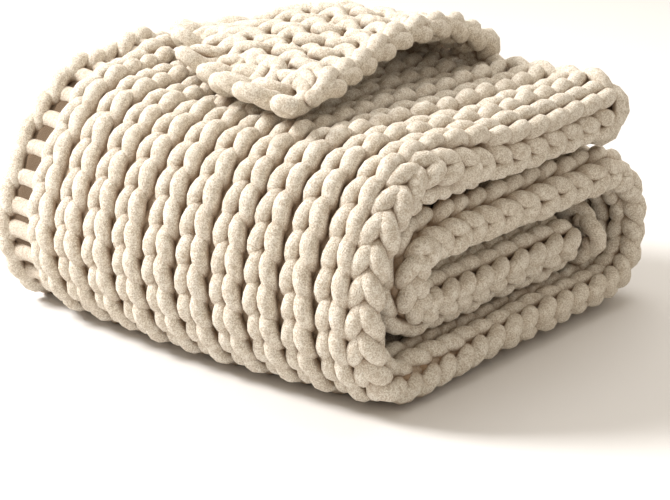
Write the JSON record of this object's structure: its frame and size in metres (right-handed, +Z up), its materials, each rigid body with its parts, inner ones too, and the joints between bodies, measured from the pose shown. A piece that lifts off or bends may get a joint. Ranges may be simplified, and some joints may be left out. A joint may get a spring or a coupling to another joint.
{
  "type": "folded chunky knit throw blanket",
  "caption": "Thick cream chenille throw in plain knit, doubled and folded into a soft pack, with a corner turned back over the top.",
  "frame": {"origin": "on the surface the pack rests on, under the middle of its box", "axes": "+Z up, -Y towards the closed front fold that the knitted ribs run over, +X towards the doubled edge where the panel ends show"},
  "size_m": [0.4828, 0.4578, 0.2819],
  "materials": {
    "chenille_yarn": "matte"
  },
  "bodies": {
    "root": {"blanket": "chenille_yarn"}
  },
  "joints": []
}
